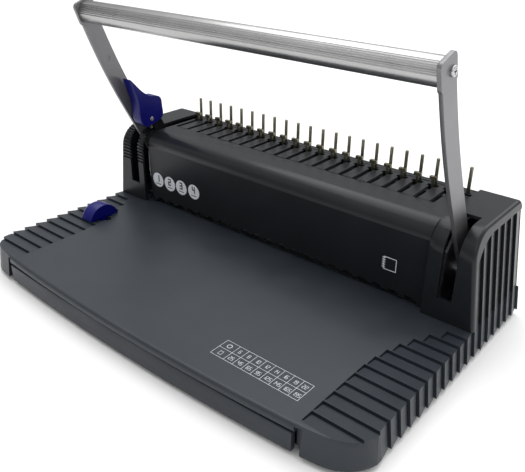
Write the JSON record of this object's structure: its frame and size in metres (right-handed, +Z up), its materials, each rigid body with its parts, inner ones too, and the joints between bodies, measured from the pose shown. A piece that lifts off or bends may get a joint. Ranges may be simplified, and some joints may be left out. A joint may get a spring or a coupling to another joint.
{
  "type": "comb binding machine",
  "caption": "Manual punch and bind machine with a tray, a slotted housing with comb pins, a swinging tube handle, an opener lever and a paper stop.",
  "frame": {"origin": "on the table, under the middle of the machine's footprint", "axes": "+X along the row of comb pins, to the right as the user sees it; +Y from the user to the back; +Z up"},
  "size_m": [0.4058, 0.253, 0.23],
  "materials": {
    "tray_plastic": "satin, fine moulded grain",
    "housing_plastic": "satin, fine moulded grain",
    "rubber": "matt",
    "screw_steel": "bright zinc",
    "plate_steel": "plain",
    "zinc_steel": "yellowed zinc",
    "black_steel": "black oxide",
    "silver_paint": "fine metallic silver grey",
    "satin_aluminium": "satin anodised",
    "black_plastic": "matt",
    "blue_plastic": "semi-gloss"
  },
  "bodies": {
    "root": {"base_tray": "tray_plastic", "bottom_pan": "tray_plastic", "rubber_feet": "rubber", "base_screws": "screw_steel", "front_cover": "housing_plastic", "rear_cover": "housing_plastic", "left_cheek": "housing_plastic", "right_cheek": "housing_plastic", "left_side_frame": "plate_steel", "right_side_frame": "plate_steel", "frame_screws": "screw_steel", "die_plate": "plate_steel", "guide_plate": "plate_steel", "paper_backstop": "plate_steel", "guide_posts": "plate_steel", "return_springs": "plate_steel", "shaft_bushes": "plate_steel", "opener_bushes": "plate_steel", "pin_rail": "plate_steel", "comb_pins": "zinc_steel", "hook_guides": "housing_plastic", "drawer_rails": "tray_plastic"},
    "handle": {"left_arm": "silver_paint", "right_arm": "silver_paint", "handle_tube": "satin_aluminium", "tube_plugs": "black_plastic", "arm_screws": "screw_steel", "handle_shaft": "plate_steel", "shaft_end_screws": "screw_steel", "left_pinion": "plate_steel", "right_pinion": "plate_steel"},
    "punch": {"punch_racks": "plate_steel", "punch_bar": "plate_steel", "punches": "plate_steel"},
    "opener": {"left_sector": "plate_steel", "right_sector": "plate_steel", "opener_shaft": "plate_steel", "opener_stem": "black_steel", "opener_knob": "blue_plastic"},
    "hooks": {"hook_plate": "plate_steel", "comb_hooks": "zinc_steel", "hook_racks": "plate_steel"},
    "stop": {"paper_stop": "blue_plastic", "stop_clip": "black_plastic"},
    "drawer": {"chip_drawer": "tray_plastic"}
  },
  "joints": [
    {"name": "handle_swing", "type": "hinge", "parent": "root", "child": "handle", "pos_m": [0, 0.0785, 0.053], "axis": [1, 0, 0], "range_deg": [0, 58], "stiffness_Nm_per_rad": 0.3, "springref_deg": -85.94},
    {"name": "punch_slide", "type": "slide", "parent": "root", "child": "punch", "axis": [0, 0, -1], "range_m": [0, 0.0092], "deforming": ["return_springs"]},
    {"name": "opener_swing", "type": "hinge", "parent": "root", "child": "opener", "pos_m": [0, 0.0795, 0.0675], "axis": [1, 0, 0], "range_deg": [0, 65]},
    {"name": "hook_slide", "type": "slide", "parent": "root", "child": "hooks", "axis": [0, -1, 0], "range_m": [0, 0.0239]},
    {"name": "stop_slide", "type": "slide", "parent": "root", "child": "stop", "axis": [1, 0, 0], "range_m": [-0.003, 0.006]},
    {"name": "drawer_slide", "type": "slide", "parent": "root", "child": "drawer", "axis": [0, 1, 0], "range_m": [0, 0.07]}
  ],
  "couplings": [
    {"joint": "punch_slide", "follows": "handle_swing", "m_per_rad": 0.009},
    {"joint": "hook_slide", "follows": "opener_swing", "m_per_rad": 0.021}
  ]
}
